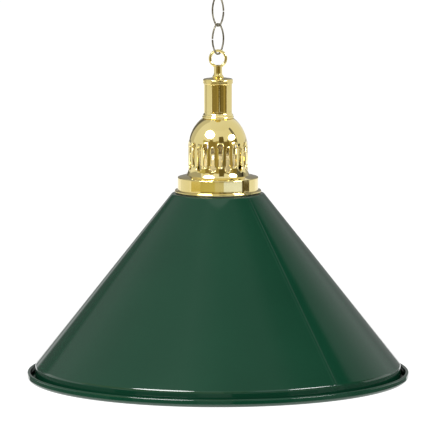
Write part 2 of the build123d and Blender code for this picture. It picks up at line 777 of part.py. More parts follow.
with BuildPart() as bulb_glass:
    bulb_body(0, Mode.ADD)
    bulb_body(bulb_glass_sheet, Mode.SUBTRACT)
bulb_glass.part.label = "bulb_glass"
export_step(bulb_glass.part, "parts/bulb_glass.step")

# Stem inside the bulb: a flare sealed into the neck and a rod down to the filament's mount.
stem_tip = 166.0
with BuildPart() as glass_stem:
    turned(
        (0, stem_tip), (2.6, stem_tip), (2.6, 184.0), (3.6, 190.0), (6.5, 197.0),
        (10.2, cap_bottom + 2.0), (10.2, cap_bottom + 3.5), (5.5, 199.5), (2.0, 193.0), (0, 192.0),
    )
glass_stem.part.label = "glass_stem"
export_step(glass_stem.part, "parts/glass_stem.step")

# Two lead wires splay out from the stem's tip to the ends of the filament.
lead_r = 0.35
coil_r = 0.4
lead_spread = 13.0
filament_level = 150.0
with BuildPart() as lead_wires:
    for side in (-1, 1):
        lead_foot = (side * 1.4, 0, rim_z + stem_tip - 0.1)
        lead_end = (side * lead_spread, 0, rim_z + filament_level)
        with BuildLine() as lead_line:
            Line(lead_foot, lead_end)
        with BuildSketch(Plane(origin=lead_foot, z_dir=lead_line.line % 0)):
            Circle(lead_r)
        sweep(path=lead_line.line)
lead_wires.part.label = "lead_wires"
export_step(lead_wires.part, "parts/lead_wires.step")

with BuildPart() as filament:
    with BuildLine(Plane.XY.offset(rim_z + filament_level - 0.65)) as coil_line:
        ThreePointArc((-lead_spread, 0), (0, -lead_spread), (lead_spread, 0))
    with BuildSketch(Plane(origin=coil_line.line @ 0, z_dir=coil_line.line % 0)):
        Circle(coil_r)
    sweep(path=coil_line.line)
filament.part.label = "filament"
export_step(filament.part, "parts/filament.step")
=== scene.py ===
import json
from math import asin, atan2, cos, degrees, hypot, pi, radians, sin, sqrt

import bmesh
import bpy
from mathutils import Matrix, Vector
from mathutils.geometry import delaunay_2d_cdt


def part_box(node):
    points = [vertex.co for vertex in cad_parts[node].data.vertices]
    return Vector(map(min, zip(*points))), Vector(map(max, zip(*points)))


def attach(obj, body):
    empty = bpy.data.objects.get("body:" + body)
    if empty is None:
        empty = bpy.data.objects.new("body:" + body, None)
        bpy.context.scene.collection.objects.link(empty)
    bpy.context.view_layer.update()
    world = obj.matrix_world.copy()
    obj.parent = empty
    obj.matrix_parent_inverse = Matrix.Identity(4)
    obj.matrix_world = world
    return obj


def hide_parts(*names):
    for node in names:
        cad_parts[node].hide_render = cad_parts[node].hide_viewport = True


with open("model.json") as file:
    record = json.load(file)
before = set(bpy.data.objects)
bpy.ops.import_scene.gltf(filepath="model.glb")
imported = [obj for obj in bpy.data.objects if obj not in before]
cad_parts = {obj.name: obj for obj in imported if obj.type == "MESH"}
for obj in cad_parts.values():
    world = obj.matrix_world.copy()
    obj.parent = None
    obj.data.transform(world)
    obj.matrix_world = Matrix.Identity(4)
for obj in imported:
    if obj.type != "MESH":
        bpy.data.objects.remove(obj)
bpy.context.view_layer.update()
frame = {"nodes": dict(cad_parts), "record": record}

nodes = frame["nodes"]
scene = bpy.context.scene

# Outlines are given in millimetres: a radius from the lamp's axis and a level above a plane just
# over the shade's lowest edge, 480 mm under the ceiling. MM turns them into metres, and rim_z
# puts them in the frame.
MM = 0.001
CEILING_LEVEL = 480.0
rim_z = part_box("ceiling_plate")[1].z - CEILING_LEVEL * MM


def span(node):
    """Outer radius, lowest level and highest level of a turned CAD node, in millimetres."""
    low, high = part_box(node)
    return high.x / MM, (low.z - rim_z) / MM, (high.z - rim_z) / MM


# ---- Outlines --------------------------------------------------------------------------
def rounded(corners, closed=True, step=10.0):
    """Outline through (radius, level, corner radius) corners, each corner an arc."""
    outline = []
    count = len(corners)
    for i, (x, z, corner_r) in enumerate(corners):
        here = Vector((x, z))
        at_end = not closed and i in (0, count - 1)
        if at_end or corner_r == 0:
            outline.append((x, z))
            continue
        before = Vector(corners[i - 1][:2]) - here
        after = Vector(corners[(i + 1) % count][:2]) - here
        before.normalize()
        after.normalize()
        turn = pi - before.angle(after)
        reach = corner_r * abs(sin(turn / 2) / cos(turn / 2))
        start = here + before * reach
        end = here + after * reach
        middle = here + (before + after).normalized() * (corner_r / cos(turn / 2))
        pieces = max(2, int(degrees(turn) / step))
        a, b = start - middle, end - middle
        for k in range(pieces + 1):
            outline.append(tuple(middle + a.slerp(b, k / pieces) * corner_r))
    return outline


def arc(x, z, r, first, last, pieces):
    """Points of an arc about (x, z), from one angle to another, in degrees."""
    points = []
    for k in range(pieces + 1):
        angle = radians(first + (last - first) * k / pieces)
        points.append((x + r * cos(angle), z + r * sin(angle)))
    return points


def path_normals(path):
    """Unit normals to the left of an open path."""
    normals = []
    for i in range(len(path)):
        ahead = Vector(path[min(i + 1, len(path) - 1)])
        behind = Vector(path[max(i - 1, 0)])
        along = (ahead - behind).normalized()
        normals.append(Vector((-along.y, along.x)))
    return normals


# ---- Meshes ----------------------------------------------------------------------------
def finish_mesh(bm, name, sharp=32.0):
    """Turn a bmesh into a smooth mesh with sharp edges at its corners."""
    bmesh.ops.recalc_face_normals(bm, faces=bm.faces)
    mesh = bpy.data.meshes.new(name)
    bm.to_mesh(mesh)
    bm.free()
    mesh.shade_smooth()
    mesh.set_sharp_from_angle(angle=radians(sharp))
    return mesh


def weight_normals(piece):
    """Keep flats flat and rounds round, by weighting the normals with the faces' areas."""
    modifier = piece.modifiers.new("weighted", "WEIGHTED_NORMAL")
    modifier.keep_sharp = True
    modifier.weight = 80


def lathe_bmesh(outline, segments):
    """Turn a closed outline, clear of the axis, about the lamp's axis."""
    bm = bmesh.new()
    rows = []
    for r, level in outline:
        z = rim_z + level * MM
        row = []
        for k in range(segments):
            angle = 2 * pi * k / segments
            row.append(bm.verts.new((r * MM * cos(angle), r * MM * sin(angle), z)))
        rows.append(row)
    for i, row in enumerate(rows):
        above = rows[(i + 1) % len(rows)]
        for k in range(segments):
            following = (k + 1) % segments
            bm.faces.new((row[k], row[following], above[following], above[k]))
    return bm


# ---- Material helpers ------------------------------------------------------------------
class Shading:
    """A node material with one Principled shader, and short calls for its detail."""

    def __init__(self, name, roughness=0.4, metallic=0.0, **numbers):
        self.material = bpy.data.materials.new(name)
        self.material.use_nodes = True
        self.tree = self.material.node_tree
        self.shader = self.tree.nodes["Principled BSDF"]
        self.shader.inputs["Roughness"].default_value = roughness
        self.shader.inputs["Metallic"].default_value = metallic
        for socket, value in numbers.items():
            self.shader.inputs[socket.replace("_", " ")].default_value = value
        self.place = self.tree.nodes.new("ShaderNodeTexCoord").outputs["Object"]
        self.height = None

    def node(self, kind, **settings):
        made = self.tree.nodes.new(kind)
        for key, value in settings.items():
            setattr(made, key, value)
        return made

    def link(self, out, socket):
        self.tree.links.new(out, socket)

    def stretched(self, scale):
        """Object coordinates scaled apart along X, Y and Z."""
        mapping = self.node("ShaderNodeMapping")
        mapping.inputs["Scale"].default_value = scale
        self.link(self.place, mapping.inputs["Vector"])
        return mapping.outputs["Vector"]

    def noise(self, scale, detail=4.0, rough=0.55, distortion=0.0, stretch=None):
        made = self.node("ShaderNodeTexNoise")
        made.inputs["Scale"].default_value = scale
        made.inputs["Detail"].default_value = detail
        made.inputs["Roughness"].default_value = rough
        made.inputs["Distortion"].default_value = distortion
        self.link(self.stretched(stretch) if stretch else self.place, made.inputs["Vector"])
        return made.outputs["Fac"]

    def cells(self, scale):
        made = self.node("ShaderNodeTexVoronoi")
        made.inputs["Scale"].default_value = scale
        self.link(self.place, made.inputs["Vector"])
        return made.outputs["Distance"]

    def ramp(self, value, *stops):
        """Colour or grey ramp of (position, colour) stops."""
        made = self.node("ShaderNodeValToRGB")
        marks = made.color_ramp.elements
        while len(marks) < len(stops):
            marks.new(0.5)
        for mark, (position, colour) in zip(marks, stops):
            mark.position = position
            mark.color = (*colour, 1) if isinstance(colour, tuple) else (colour, colour, colour, 1)
        self.link(value, made.inputs["Fac"])
        return made.outputs["Color"]

    def mix(self, amount, a, b, blend="MIX"):
        made = self.node("ShaderNodeMix", data_type="RGBA", blend_type=blend)
        for value, socket in ((amount, made.inputs[0]), (a, made.inputs[6]), (b, made.inputs[7])):
            if isinstance(value, bpy.types.NodeSocket):
                self.link(value, socket)
            elif isinstance(value, tuple):
                socket.default_value = (*value, 1)
            else:
                socket.default_value = value
        return made.outputs[2]

    def colour(self, value):
        self.link(value, self.shader.inputs["Base Color"])

    def roughness(self, value, low, high):
        """Roughness between two numbers, following a grey value."""
        made = self.node("ShaderNodeMapRange")
        made.inputs["To Min"].default_value = low
        made.inputs["To Max"].default_value = high
        self.link(value, made.inputs["Value"])
        self.link(made.outputs["Result"], self.shader.inputs["Roughness"])

    def bump(self, value, strength, distance):
        """Add a bump, in metres of height, over any bump already there."""
        made = self.node("ShaderNodeBump")
        made.inputs["Strength"].default_value = strength
        made.inputs["Distance"].default_value = distance
        self.link(value, made.inputs["Height"])
        if self.height:
            self.link(self.height, made.inputs["Normal"])
        self.height = made.outputs["Normal"]
        self.link(self.height, self.shader.inputs["Normal"])


def wear(piece, material):
    """Give a piece one material in every slot."""
    piece.data.materials.clear()
    piece.data.materials.append(material)


# ---- Materials -------------------------------------------------------------------------
BRASS_LIGHT = (0.86, 0.74, 0.35)
BRASS_DEEP = (0.78, 0.64, 0.25)


def polished_brass():
    """Lacquered spun brass: faint turning lines, hand smudges and slightly uneven tint."""
    m = Shading("polished_brass", roughness=0.08, metallic=1.0, Coat_Weight=0.25, Coat_Roughness=0.04)
    cloud = m.noise(18.0, detail=3.0)
    smudge = m.noise(70.0, detail=6.0, rough=0.65)
    lines = m.noise(160.0, detail=1.0, stretch=(0.03, 0.03, 6.0))
    m.colour(m.ramp(cloud, (0.3, BRASS_DEEP), (0.7, BRASS_LIGHT)))
    m.roughness(smudge, 0.03, 0.12)
    m.bump(lines, 0.1, 0.000012)
    m.bump(cloud, 0.2, 0.0003)
    return m.material


def antique_chain():
    """Bronzed brass wire: brown-grey patina, rubbed brighter on the high spots."""
    m = Shading("antique_chain", roughness=0.3, metallic=1.0)
    patina = m.noise(240.0, detail=6.0, rough=0.6)
    grain = m.noise(1500.0, detail=3.0)
    m.colour(m.ramp(patina, (0.35, (0.085, 0.075, 0.050)), (0.62, (0.27, 0.25, 0.19))))
    m.roughness(grain, 0.22, 0.42)
    m.bump(patina, 0.3, 0.0001)
    m.bump(grain, 0.15, 0.00004)
    return m.material


ENAMEL_GREEN = (0.0028, 0.0262, 0.0128)
ENAMEL_GREEN_DEEP = (0.0022, 0.0222, 0.0108)
ENAMEL_WHITE = (0.80, 0.79, 0.74)


def vitreous_enamel():
    """Glossy enamel, green outside and white inside, with orange peel and a slow unevenness."""
    m = Shading("vitreous_enamel", roughness=0.05, Specular_IOR_Level=0.5, IOR=1.5)
    side = m.node("ShaderNodeAttribute", attribute_name="inside").outputs["Fac"]
    slow = m.noise(7.0, detail=2.0)
    peel = m.noise(420.0, detail=2.0, rough=0.4)
    dust = m.noise(900.0, detail=5.0, rough=0.7)
    green = m.ramp(slow, (0.3, ENAMEL_GREEN_DEEP), (0.7, ENAMEL_GREEN))
    speck = m.ramp(m.cells(120.0), (0.0, (0.62, 0.60, 0.54)), (0.045, ENAMEL_WHITE))
    m.colour(m.mix(side, green, speck))
    m.roughness(dust, 0.035, 0.10)
    m.bump(peel, 0.10, 0.00008)
    m.bump(slow, 0.35, 0.0015)
    return m.material


def plated_steel():
    """Steel with yellow-passivated zinc: pale gold with a faint iridescent mottle."""
    m = Shading("plated_steel", roughness=0.3, metallic=1.0)
    mottle = m.cells(420.0)
    m.colour(m.ramp(mottle, (0.1, (0.58, 0.50, 0.30)), (0.7, (0.74, 0.64, 0.40))))
    m.roughness(m.noise(600.0), 0.24, 0.42)
    m.bump(m.noise(1400.0), 0.2, 0.00004)
    return m.material


def contact_brass():
    """Bare rolled brass sheet, a little tarnished."""
    m = Shading("contact_brass", roughness=0.3, metallic=1.0)
    tarnish = m.noise(160.0, detail=5.0)
    m.colour(m.ramp(tarnish, (0.35, (0.42, 0.28, 0.10)), (0.65, (0.72, 0.55, 0.25))))
    m.roughness(tarnish, 0.42, 0.22)
    m.bump(m.noise(900.0, stretch=(1.0, 8.0, 1.0)), 0.2, 0.00004)
    return m.material


def porcelain():
    """Glazed porcelain with fine specks and a soft ripple in the glaze; its cream-yellow is partly its
    own tint, partly painted reflection of the gold dome and painted light.
    """
    m = Shading("porcelain", roughness=0.12, Coat_Weight=0.5, Coat_Roughness=0.03)
    speck = m.cells(260.0)
    # Painted reflection and painted light: the yellow of these creams partly paints the gold dome's glow
    # on the glaze, and their brightness paints light into the dome's shade.
    body = m.ramp(m.noise(60.0), (0.3, (0.88, 0.73, 0.36)), (0.7, (0.94, 0.82, 0.48)))
    m.colour(m.mix(m.ramp(speck, (0.0, 1.0), (0.05, 0.0)), body, (0.42, 0.36, 0.26)))
    m.roughness(m.noise(90.0), 0.08, 0.2)
    m.bump(m.noise(150.0, detail=2.0), 0.15, 0.0002)
    return m.material


def black_rubber():
    """Dull black rubber with a fine grain."""
    m = Shading("black_rubber", roughness=0.75)
    grain = m.noise(1800.0, detail=4.0)
    m.colour(m.ramp(grain, (0.3, (0.010, 0.010, 0.010)), (0.7, (0.035, 0.034, 0.032))))
    m.roughness(grain, 0.65, 0.85)
    m.bump(grain, 0.4, 0.0001)
    return m.material


def moulded_phenolic():
    """Black moulded ring with a fine sparkle and flow marks."""
    m = Shading("moulded_phenolic", roughness=0.35)
    flow = m.noise(50.0, detail=3.0, distortion=1.5)
    m.colour(m.ramp(flow, (0.3, (0.012, 0.011, 0.010)), (0.7, (0.038, 0.034, 0.030))))
    m.roughness(m.noise(700.0), 0.26, 0.5)
    m.bump(m.noise(1200.0), 0.2, 0.00006)
    return m.material


def bulb_metal():
    """Bright drawn aluminium with faint lines round it."""
    m = Shading("bulb_metal", roughness=0.25, metallic=1.0)
    lines = m.noise(500.0, stretch=(0.05, 0.05, 6.0))
    m.colour(m.ramp(lines, (0.3, (0.60, 0.59, 0.57)), (0.7, (0.80, 0.79, 0.77))))
    m.roughness(lines, 0.18, 0.34)
    m.bump(lines, 0.2, 0.00005)
    return m.material


def black_glass():
    """Glossy black glass with small pores."""
    m = Shading("black_glass", roughness=0.1)
    pores = m.cells(500.0)
    m.colour(m.ramp(pores, (0.0, (0.05, 0.05, 0.055)), (0.3, (0.012, 0.012, 0.014))))
    m.roughness(m.noise(200.0), 0.07, 0.18)
    m.bump(pores, 0.2, 0.0001)
    return m.material


def solder():
    """Dull grey solder with a grainy skin."""
    m = Shading("solder", roughness=0.45, metallic=1.0)
    grain = m.noise(900.0, detail=5.0)
    m.colour(m.ramp(grain, (0.3, (0.42, 0.42, 0.42)), (0.7, (0.68, 0.68, 0.67))))
    m.roughness(grain, 0.35, 0.6)
    m.bump(grain, 0.4, 0.00015)
    return m.material


def frosted_glass():
    """Bulb glass etched white on the inside."""
    m = Shading("frosted_glass", roughness=0.35, Transmission_Weight=0.55, IOR=1.45)
    etch = m.noise(1200.0, detail=4.0)
    m.colour(m.ramp(m.noise(30.0), (0.3, (0.86, 0.86, 0.83)), (0.7, (0.93, 0.93, 0.90))))
    m.roughness(etch, 0.3, 0.45)
    m.bump(etch, 0.15, 0.00004)
    return m.material


def clear_glass():
    """Clear glass of the stem, with a few drawn streaks."""
    m = Shading("clear_glass", roughness=0.03, Transmission_Weight=1.0, IOR=1.48)
    streaks = m.noise(300.0, stretch=(1.0, 1.0, 0.08))
    m.colour(m.ramp(streaks, (0.3, (0.90, 0.95, 0.92)), (0.7, (0.97, 0.99, 0.98))))
    m.bump(streaks, 0.1, 0.0001)
    return m.material


def tungsten():
    """Dark grey wound wire."""
    m = Shading("tungsten", roughness=0.4, metallic=1.0)
    turns = m.node("ShaderNodeTexWave", wave_type="BANDS", bands_direction="X")
    turns.inputs["Scale"].default_value = 900.0
    turns.inputs["Distortion"].default_value = 0.4
    m.link(m.place, turns.inputs["Vector"])
    m.colour(m.ramp(turns.outputs["Fac"], (0.2, (0.05, 0.05, 0.05)), (0.8, (0.30, 0.29, 0.28))))
    m.bump(turns.outputs["Fac"], 0.5, 0.0002)
    return m.material


FINISH = {
    "brass_polished": polished_brass(),
    "chain_antique": antique_chain(),
    "steel_plated": plated_steel(),
    "gasket": black_rubber(),
    "enamel_green": vitreous_enamel(),
    "ring_plastic": moulded_phenolic(),
    "contact_brass": contact_brass(),
    "porcelain": porcelain(),
    "bulb_metal": bulb_metal(),
    "black_glass": black_glass(),
    "solder": solder(),
    "bulb_glass": frosted_glass(),
    "clear_glass": clear_glass(),
    "filament_wire": tungsten(),
}
slot_of = {row["node"]: row["material_slot"] for row in frame["record"]["subparts"]}
for node_name, node in nodes.items():
    wear(node, FINISH[slot_of[node_name]])


def stand_in(node, mesh):
    """Fine piece on the lamp, standing for a CAD node in that node's finish."""
    piece = bpy.data.objects.new("fine_" + node, mesh)
    scene.collection.objects.link(piece)
    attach(piece, "lamp")
    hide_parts(node)
    wear(piece, FINISH[slot_of[node]])
    return piece


def turned_piece(node, outline, segments=160):
    """Stand-in for a turned CAD node, from a closed outline."""
    weight_normals(stand_in(node, finish_mesh(lathe_bmesh(outline, segments), "fine_" + node)))


# ---- Shade -----------------------------------------------------------------------------
SHADE_SHEET = 0.8
GREEN_R = 213.0  # the white inside ends here, on the brim's underside
SEAM_AZIMUTH = 39.0  # the cone's welded seam, to the right of the front, degrees
SEAM_HALF = 1.7
SEAM_HEIGHT = 0.32


def shade_path():
    """Middle line of the shade's sheet, from the hole in its top to the end of its folded rim."""
    outer_r, _, top = span("shade")
    hole_r = 20.6
    middle_top = top - SHADE_SHEET / 2
    wall_r, brim = 210.4, -3.1
    hem_outer_r = outer_r - SHADE_SHEET / 2
    hem_inner_r = hem_outer_r - 3.1
    corners = [
        (hole_r, middle_top, 0), (52.5, middle_top, 4.0), (wall_r, 12.4, 5.0), (wall_r, brim, 1.0),
        (GREEN_R - 0.3, brim, 0), (GREEN_R + 0.3, brim, 0), (hem_outer_r, brim, 3.6),
        (hem_outer_r, 5.2, 1.5), (hem_inner_r, 5.2, 1.5), (hem_inner_r, 0.5, 0),
    ]
    return rounded(corners, closed=False, step=9.0)


def split_long(path, longest):
    """Divide long straight runs of an open path, so that bumps and seams have rows to follow."""
    finer = [path[0]]
    for a, b in zip(path, path[1:]):
        runs = max(1, round(hypot(b[0] - a[0], b[1] - a[1]) / longest))
        for k in range(1, runs + 1):
            finer.append((a[0] + (b[0] - a[0]) * k / runs, a[1] + (b[1] - a[1]) * k / runs))
    return finer


def seam_columns(r):
    """Angles of the shade's columns on a circle of radius r, with close columns at the seam."""
    offsets = [-9.0, -6.0, -4.0]
    offsets += [SEAM_HALF * s for s in (-1.6, -1.3, -1.1, -0.9, -0.6, 0.0, 0.6, 0.9, 1.1, 1.3, 1.6)]
    offsets += [4.0, 6.0, 9.0]
    near = [(degrees(x / r), x) for x in offsets]
    first, last = 14.0, 346.0
    columns = list(near)
    for k in range(1, 5):
        columns.append((near[-1][0] + (first - near[-1][0]) * k / 5, 99.0))
    regular = 176
    for k in range(regular + 1):
        columns.append((first + (last - first) * k / regular, 99.0))
    for k in range(1, 5):
        columns.append((last + (360 + near[0][0] - last) * k / 5, 99.0))
    return [(radians(SEAM_AZIMUTH - 90 + angle), x) for angle, x in columns]


def seam_height(x):
    """Rise of the seam's flat bead over the sheet, at x millimetres from its middle."""
    away = abs(x) / SEAM_HALF
    if away >= 1.3:
        return 0.0
    if away <= 0.9:
        return SEAM_HEIGHT
    return SEAM_HEIGHT * (1 - (away - 0.9) / 0.4)


def build_shade():
    """The enamelled shade as one closed sheet, marked where it is white."""
    path = split_long(shade_path(), 9.0)
    normals = path_normals(path)
    half = SHADE_SHEET / 2
    outer = [(Vector(p) + n * half, n, 0.0) for p, n in zip(path, normals)]
    inner = []
    for p, n in zip(path, normals):
        inner.append((Vector(p) - n * half, -n, 1.0 if p[0] < GREEN_R else 0.0))
    rows = outer + inner[::-1]
    bm = bmesh.new()
    inside = bm.verts.layers.float.new("inside")
    grid = []
    for place, normal, white in rows:
        on_wall = 54.0 < place.x < 211.5 and white == 0.0
        row = []
        for angle, x in seam_columns(max(place.x, 50.0)):
            rise = seam_height(x) if on_wall else 0.0
            r = (place.x + normal.x * rise) * MM
            z = rim_z + (place.y + normal.y * rise) * MM
            vert = bm.verts.new((r * cos(angle), r * sin(angle), z))
            vert[inside] = white
            row.append(vert)
        grid.append(row)
    count = len(grid[0])
    for i, row in enumerate(grid):
        above = grid[(i + 1) % len(grid)]
        for k in range(count):
            following = (k + 1) % count
            bm.faces.new((row[k], row[following], above[following], above[k]))
    weight_normals(stand_in("shade", finish_mesh(bm, "fine_shade")))


build_shade()


# ---- Brass holder: base ring, collar, tube and cap --------------------------------------
HUB_R = 5.2  # hole for the threaded rod
BORE_R = 12.0  # hollow of the collar and the cap
NECK_R = 16.2
SPIGOT_R = 14.95


def lip_outline(lip_r, lip_low, lip_high):
    """Half-round edge of the base ring's lip."""
    half = (lip_high - lip_low) / 2
    return arc(lip_r - half, lip_low + half, half, -90, 90, 14)


def build_base_ring():
    """Spun ring under the dome: lip, upright wall, rounded shoulder and sloping top."""
    lip_r, low, top = span("base_ring")
    wall_r, wall_top, thickness = 46.5, 229.1, 1.2
    inside_r, hole_r = wall_r - thickness, 30.0
    lip_top = low + 3.4
    wall_foot = lip_top + 0.45
    outline = [(inside_r, low)] + lip_outline(lip_r, low, lip_top)
    outline += [(wall_r + 0.45, lip_top), (wall_r + 0.12, lip_top + 0.1), (wall_r, wall_foot)]
    outline += [(wall_r, wall_foot + (wall_top - wall_foot) * k / 4) for k in range(1, 5)]
    outline += arc(wall_r - thickness, wall_top + 0.1, thickness, 0, 76, 8)
    outline += [(44.9, 230.6), (43.6, 230.9), (41.5, 231.5), (39.3, 232.1), (37.4, top - 0.05)]
    outline += [(36.5, top), (hole_r + 0.3, top), (hole_r, top - 0.3), (hole_r, top - 0.9)]
    outline += [(hole_r + 0.3, top - thickness), (37.1, top - thickness)]
    outline += [(45.0, wall_top + 0.3), (inside_r, wall_top)]
    turned_piece("base_ring", outline, segments=224)


def build_neck_collar():
    """Turned collar: a bead at the foot, then a hollow curve up to the tube."""
    bead_r, low, top = span("neck_collar")
    bead_half, pieces, seat, floor = 1.7, 12, low + 8.5, low + 3
    outline = [(HUB_R, low), (bead_r - 0.5, low)]
    outline += arc(bead_r - bead_half, low + bead_half, bead_half, -70, 70, pieces)
    outline += [(17.55, low + 3.55), (17.45, low + 3.75), (17.55, low + 4.0)]
    hollow = arc(19.7, low + 7.2, 3.4, 232, 172, pieces)
    shift = NECK_R + 0.05 - hollow[-1][0]
    outline += [(x + shift * k / pieces, z) for k, (x, z) in enumerate(hollow)]
    outline += [(NECK_R, seat), (SPIGOT_R - 0.05, seat), (SPIGOT_R - 0.05, top)]
    outline += [(BORE_R, top), (BORE_R, floor), (HUB_R, floor)]
    turned_piece("neck_collar", outline)


def build_neck_tube():
    """Drawn tube with its sharp ends just broken."""
    outer_r, low, top = span("neck_tube")
    inner_r = outer_r - 1.2
    edge_r = 0.25
    corners = ((inner_r, low), (outer_r, low), (outer_r, top), (inner_r, top))
    turned_piece("neck_tube", rounded([(x, z, edge_r) for x, z in corners]))


def build_neck_cap():
    """Turned cap: an upright lip, a round corner and a top that rises a little to the stem."""
    lip_r, low, top = span("neck_cap")
    seat, web_low, corner_r, groove_r = low + 3.5, top - 4.0, 1.8, lip_r - 0.12
    outline = [(HUB_R, web_low), (BORE_R, web_low), (BORE_R, low), (SPIGOT_R, low), (SPIGOT_R, seat)]
    outline += [(NECK_R + 0.05, seat), (NECK_R + 0.3, seat + 0.3)]
    outline += arc(lip_r - 0.5, seat + 0.9, 0.5, -70, 0, 4)
    outline += [(lip_r, seat + 1.5), (groove_r, seat + 1.9), (groove_r, seat + 2.3)]
    outline += [(lip_r, seat + 2.7), (lip_r, seat + 3.6)]
    outline += arc(lip_r - corner_r, top - 3.0, corner_r, 0, 78, 9)
    outline += [(13.0, top - 0.82), (10.0, top - 0.35), (7.6, top), (HUB_R, top)]
    turned_piece("neck_cap", outline)


build_base_ring()
build_neck_collar()
build_neck_tube()
build_neck_cap()


# ---- Vented dome ------------------------------------------------------------------------
VENTS = 24
FIRST_VENT = -85.4  # compass angle of a vent with its round end up, degrees
VENT_ROUND_R = 3.4
VENT_BAR = 3.6  # width of the vent's straight part
VENT_HIGH = 268.0  # middle of the round end, where that is up
VENT_LOW = 242.9  # and where it is down
BAR_SHORT = 3.0  # the bar's end is this far inside the next vent's round end
BAND_LOW = 237.0  # the vents lie in the band between these levels
BAND_HIGH = 275.0
DOME_R = 33.9
DOME_ARC_R = 40.9
DOME_ARC_LEVEL = 265.6
FLARE_R = 26.3  # hollow curve of the foot
FLARE_TOP = 243.7
DOME_SHEET = 1.0
SECTOR_STEPS = 12
# How far the sheet is formed outwards, in millimetres, at distances from a vent's edge.
VENT_EDGE = ((0.0, -0.70), (0.12, -0.32), (0.30, -0.03), (0.50, 0.15), (0.70, 0.18), (0.92, 0.05))
PRESS_END = (1.3, 0.0)


def dome_at(level):
    """Radius of the dome's outside at a level, and its outward normal as (radial, up)."""
    if level >= DOME_ARC_LEVEL:
        up = level - DOME_ARC_LEVEL
        out = sqrt(DOME_ARC_R**2 - up**2)
        return DOME_R - DOME_ARC_R + out, out / DOME_ARC_R, up / DOME_ARC_R
    if level <= FLARE_TOP:
        down = FLARE_TOP - level
        out = sqrt(FLARE_R**2 - down**2)
        return DOME_R + FLARE_R - out, out / FLARE_R, down / FLARE_R
    return DOME_R, 1.0, 0.0


def vent_outline(round_level, grow):
    """Keyhole outline grown outwards, anticlockwise, as (millimetres across, level) points."""
    up = 1 if round_level == VENT_HIGH else -1
    bar_half = VENT_BAR / 2 + grow
    round_r = VENT_ROUND_R + grow
    far_end = VENT_LOW + BAR_SHORT if up == 1 else VENT_HIGH - BAR_SHORT
    meet = sqrt(round_r**2 - bar_half**2)
    first = degrees(atan2(-meet, bar_half))
    points = []
    for k in range(23):
        angle = radians(first + (180 - 2 * first) * k / 22)
        points.append((round_r * cos(angle), round_level + up * round_r * sin(angle)))
    neck = round_level - up * meet
    points += [(-bar_half, neck + (far_end - neck) * k / 12) for k in range(1, 12)]
    for k in range(13):
        angle = pi * k / 12
        points.append((-bar_half * cos(angle), far_end - up * bar_half * sin(angle)))
    points += [(bar_half, neck + (far_end - neck) * k / 12) for k in range(11, 0, -1)]
    return points if up == 1 else points[::-1]


def inside_outline(x, z, outline):
    """Whether a point lies inside a closed outline."""
    inside = False
    for (x0, z0), (x1, z1) in zip(outline, outline[1:] + outline[:1]):
        if (z0 > z) != (z1 > z) and x < x0 + (z - z0) * (x1 - x0) / (z1 - z0):
            inside = not inside
    return inside


def vent_sector(round_level):
    """Flat sector of the dome round one vent: its points, its triangles and the hole's edge.

    A point is (across, level, press, slope across, slope up): press is how far the sheet is
    formed outwards there, and the slopes are those of the press.
    """
    half = pi * DOME_R / VENTS
    rows = 20
    edge = [(-half + 2 * half * k / SECTOR_STEPS, BAND_LOW) for k in range(SECTOR_STEPS)]
    edge += [(half, BAND_LOW + (BAND_HIGH - BAND_LOW) * k / rows) for k in range(rows)]
    edge += [(half - 2 * half * k / SECTOR_STEPS, BAND_HIGH) for k in range(SECTOR_STEPS)]
    edge += [(-half, BAND_HIGH - (BAND_HIGH - BAND_LOW) * k / rows) for k in range(rows)]
    points = [(x, z, 0.0, 0.0, 0.0) for x, z in edge]
    edges = [(k, (k + 1) % len(edge)) for k in range(len(edge))]
    last_ring = vent_outline(round_level, VENT_EDGE[-1][0] + 0.15)
    for i in range(1, SECTOR_STEPS):
        for j in range(1, rows):
            x = -half + 2 * half * i / SECTOR_STEPS
            z = BAND_LOW + (BAND_HIGH - BAND_LOW) * j / rows
            if not inside_outline(x, z, last_ring):
                points.append((x, z, 0.0, 0.0, 0.0))
    hole_first = len(points)
    for ring, (grow, press) in enumerate(VENT_EDGE):
        before = VENT_EDGE[max(ring - 1, 0)]
        after = VENT_EDGE[ring + 1] if ring + 1 < len(VENT_EDGE) else PRESS_END
        slope = (after[1] - before[1]) / (after[0] - before[0])
        outline = vent_outline(round_level, grow)
        wider = vent_outline(round_level, grow + 0.02)
        first = len(points)
        for (x, z), (x1, z1) in zip(outline, wider):
            away = hypot(x1 - x, z1 - z)
            points.append((x, z, press, slope * (x1 - x) / away, slope * (z1 - z) / away))
        count = len(outline)
        edges += [(first + k, first + (k + 1) % count) for k in range(count)]
    flat = [Vector(p[:2]) for p in points]
    found = delaunay_2d_cdt(flat, edges, [], 0, 1e-6, True)
    hole = vent_outline(round_level, 0.0)
    triangles = []
    for face in found[2]:
        corners = [found[3][v][0] for v in face]
        middle = sum((flat[v] for v in corners), Vector((0, 0))) / 3
        if not inside_outline(middle.x, middle.y, hole):
            triangles.append(corners)
    return points, triangles, range(hole_first, hole_first + len(hole))


class FormedSheet:
    """Collects faces with their own corner normals, sharing corners that coincide."""

    def __init__(self):
        self.places, self.faces, self.normals, self.known = [], [], [], {}

    def face(self, corners):
        """Add a face of (place, normal) corners."""
        numbers = []
        for place, normal in corners:
            key = tuple(round(v, 8) for v in place)
            if key not in self.known:
                self.known[key] = len(self.places)
                self.places.append(place)
            numbers.append(self.known[key])
            self.normals.append(normal)
        self.faces.append(numbers)

    def mesh(self, name):
        made = bpy.data.meshes.new(name)
        made.from_pydata(self.places, [], self.faces)
        made.shade_smooth()
        made.normals_split_custom_set(self.normals)
        return made


